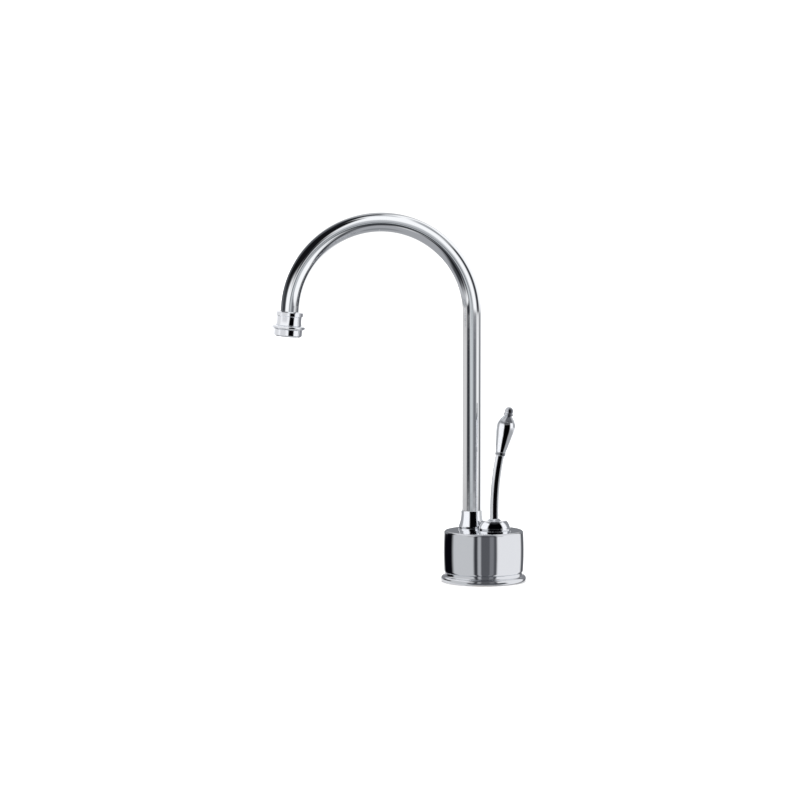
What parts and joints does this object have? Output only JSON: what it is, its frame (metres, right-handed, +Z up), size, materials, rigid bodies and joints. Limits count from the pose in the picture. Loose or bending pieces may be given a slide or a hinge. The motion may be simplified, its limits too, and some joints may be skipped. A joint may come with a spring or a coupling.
{
  "type": "water dispenser tap",
  "caption": "Chrome cold water dispenser tap: drum body, swivelling gooseneck spout with a ringed nozzle, and a tilting lever with a vase-shaped grip.",
  "frame": {"origin": "centre of the base's underside, on the top of the deck that the tap stands on", "axes": "+Z up, along the spout's height; the spout points along -X at rest; +Y is the back"},
  "size_m": [0.2154, 0.072, 0.408],
  "materials": {
    "chrome": "polished",
    "brass": "machined",
    "stainless": "satin",
    "rubber": "matt",
    "white_plastic": "matt",
    "grey_plastic": "matt",
    "ceramic": "lapped"
  },
  "bodies": {
    "base": {"base_ring": "chrome", "deck_gasket": "rubber", "body_shell": "chrome", "manifold": "brass", "spout_collar": "chrome", "spout_bush": "white_plastic", "cartridge_seal": "rubber", "cartridge_base": "grey_plastic", "fixed_disc": "ceramic", "cartridge_housing": "grey_plastic", "ball_seat": "white_plastic", "bonnet": "chrome", "shank": "brass", "rubber_washer": "rubber", "steel_washer": "stainless", "mounting_nut": "brass", "inlet_tube": "stainless", "inlet_fitting": "brass"},
    "spout": {"spout_tube": "chrome", "spout_stem": "brass", "spout_o_rings": "rubber", "retaining_ring": "stainless", "nozzle_body": "chrome", "nozzle_washer": "rubber", "aerator_plate": "grey_plastic", "nozzle_tip": "chrome"},
    "lever": {"lever_ball": "chrome", "pivot_pin": "stainless", "lever_rod": "chrome", "grip_ferrule": "chrome", "lever_grip": "chrome", "finial": "chrome"},
    "disc_carrier": {"disc_carrier": "white_plastic", "moving_disc": "ceramic"}
  },
  "joints": [
    {"name": "spout_swivel", "type": "hinge", "parent": "base", "child": "spout", "pos_m": [-0.00983, 0.01763, 0.042], "axis": [0, 0, 1], "continuous": true},
    {"name": "lever_tilt", "type": "hinge", "parent": "base", "child": "lever", "pos_m": [0.009, 0, 0.0466], "axis": [0, 1, 0], "range_deg": [0, 20]},
    {"name": "disc_slide", "type": "slide", "parent": "base", "child": "disc_carrier", "axis": [1, 0, 0], "range_m": [-0.0036, 0]}
  ],
  "couplings": [
    {"joint": "disc_slide", "follows": "lever_tilt", "m_per_rad": -0.0098}
  ]
}
